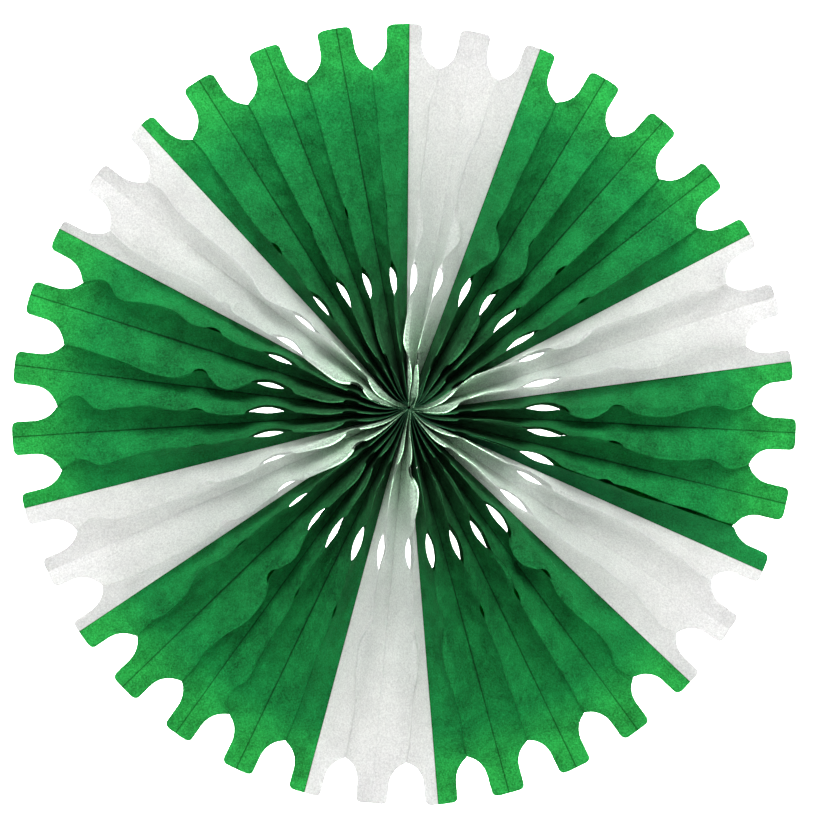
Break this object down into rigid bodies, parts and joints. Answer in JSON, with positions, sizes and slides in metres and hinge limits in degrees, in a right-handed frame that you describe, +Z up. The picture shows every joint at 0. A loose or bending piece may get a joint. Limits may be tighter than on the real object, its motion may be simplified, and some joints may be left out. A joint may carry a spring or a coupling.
{
  "type": "paper fan medallion",
  "caption": "Round honeycomb fan of green and white tissue paper, with radial folded cells, a notched rim and rings of die-cut slits, opened to a full circle for hanging.",
  "frame": {"origin": "centre of the hub, in the middle plane where the straight seams meet", "axes": "+Z up towards the top tooth, +X to the right as seen from the front, the front face towards -Y; upright, as it hangs"},
  "size_m": [0.6393, 0.055, 0.6341],
  "materials": {
    "green_tissue": "matte",
    "white_tissue": "matte",
    "closing_paper": "matte"
  },
  "bodies": {
    "root": {"closing_strip": "closing_paper", "end_strip": "green_tissue", "green_cell_01": "green_tissue", "green_cell_02": "green_tissue", "green_cell_03": "green_tissue", "green_cell_04": "green_tissue", "green_cell_05": "green_tissue", "green_cell_06": "green_tissue", "green_cell_07": "green_tissue", "green_cell_08": "green_tissue", "green_cell_09": "green_tissue", "green_cell_10": "green_tissue", "green_cell_11": "green_tissue", "green_cell_12": "green_tissue", "green_cell_13": "green_tissue", "green_cell_14": "green_tissue", "green_cell_15": "green_tissue", "green_cell_16": "green_tissue", "green_cell_17": "green_tissue", "green_cell_18": "green_tissue", "green_cell_19": "green_tissue", "green_cell_20": "green_tissue", "green_cell_21": "green_tissue", "green_cell_22": "green_tissue", "white_cell_01": "white_tissue", "white_cell_02": "white_tissue", "white_cell_03": "white_tissue", "white_cell_04": "white_tissue", "white_cell_05": "white_tissue", "white_cell_06": "white_tissue", "white_cell_07": "white_tissue", "white_cell_08": "white_tissue", "white_cell_09": "white_tissue", "white_cell_10": "white_tissue", "white_cell_11": "white_tissue", "white_cell_12": "white_tissue"}
  },
  "joints": []
}
